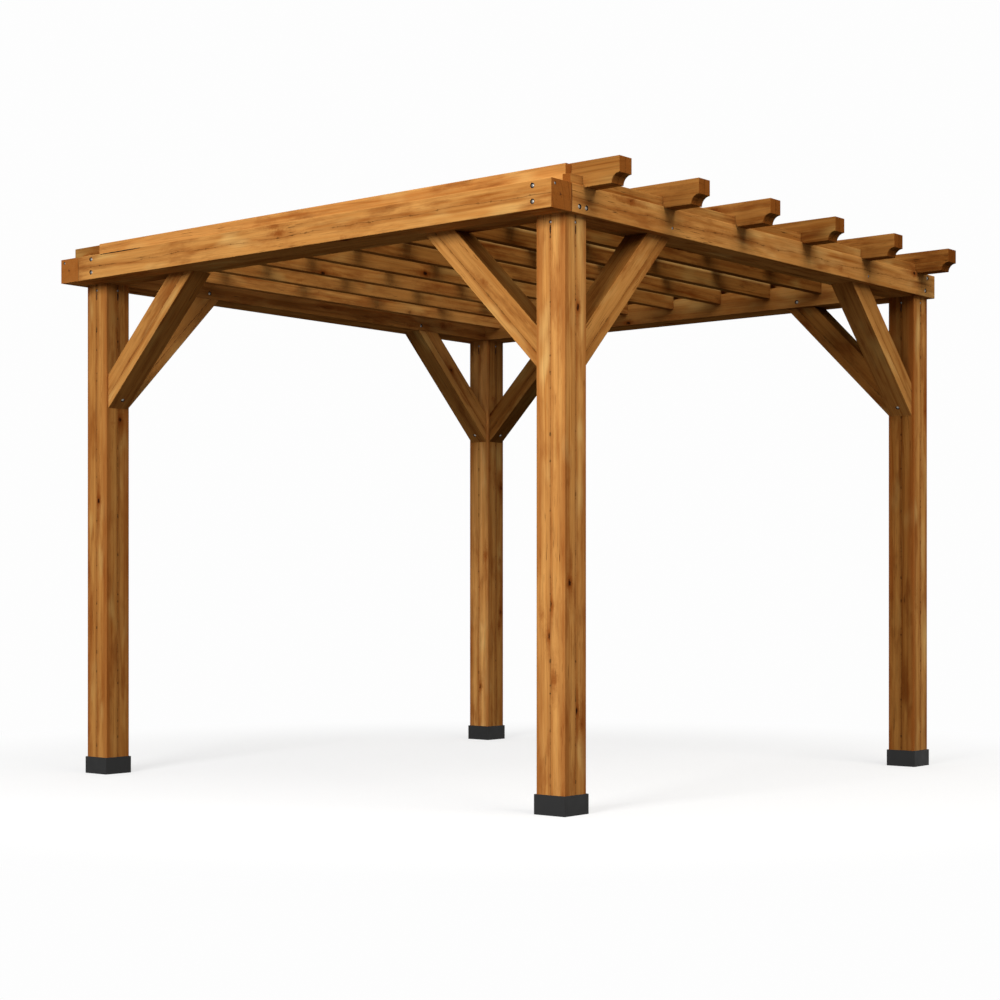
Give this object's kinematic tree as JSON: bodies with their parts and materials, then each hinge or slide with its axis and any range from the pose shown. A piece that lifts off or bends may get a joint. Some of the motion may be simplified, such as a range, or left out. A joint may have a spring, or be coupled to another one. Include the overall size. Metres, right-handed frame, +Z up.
{
  "type": "wooden pergola",
  "caption": "Free-standing cedar pergola with square posts in black shoes, knee braces, bolted beams, purlins and doubled rafters with coved tails.",
  "frame": {"origin": "on the floor under the middle of the roof", "axes": "+Z up, the front faces -Y, +X to the right seen from the front, along the rafters"},
  "size_m": [3.266, 3.109, 2.532],
  "materials": {
    "post_cedar": "clear satin oil stain on planed cedar",
    "shoe_black": "matt black powder coat on steel",
    "beam_cedar": "clear satin oil stain on planed cedar",
    "plank_cedar": "clear satin oil stain on planed cedar",
    "brace_cedar": "clear satin oil stain on planed cedar",
    "strip_cedar": "clear satin oil stain on planed cedar",
    "rafter_cedar": "clear satin oil stain on planed cedar",
    "purlin_cedar": "clear satin oil stain on planed cedar"
  },
  "bodies": {
    "root": {"post_front_left": "post_cedar", "post_front_right": "post_cedar", "post_back_right": "post_cedar", "post_back_left": "post_cedar", "shoe_front_left": "shoe_black", "shoe_front_right": "shoe_black", "shoe_back_right": "shoe_black", "shoe_back_left": "shoe_black", "beam_front": "beam_cedar", "beam_right": "beam_cedar", "beam_back": "beam_cedar", "beam_left": "beam_cedar", "plank_front": "plank_cedar", "plank_right": "plank_cedar", "plank_back": "plank_cedar", "plank_left": "plank_cedar", "brace_front_at_left": "brace_cedar", "brace_front_at_right": "brace_cedar", "brace_right_at_front": "brace_cedar", "brace_right_at_back": "brace_cedar", "brace_back_at_right": "brace_cedar", "brace_back_at_left": "brace_cedar", "brace_left_at_back": "brace_cedar", "brace_left_at_front": "brace_cedar", "strip_right": "strip_cedar", "strip_left": "strip_cedar", "edge_board_front": "strip_cedar", "edge_board_back": "strip_cedar", "rafter_1": "rafter_cedar", "rafter_2": "rafter_cedar", "rafter_3": "rafter_cedar", "rafter_4": "rafter_cedar", "rafter_5": "rafter_cedar", "rafter_6": "rafter_cedar", "purlin_1": "purlin_cedar", "purlin_2": "purlin_cedar", "purlin_3": "purlin_cedar", "purlin_4": "purlin_cedar", "purlin_5": "purlin_cedar", "purlin_6": "purlin_cedar", "purlin_7": "purlin_cedar", "purlin_8": "purlin_cedar", "purlin_9": "purlin_cedar"}
  },
  "joints": []
}
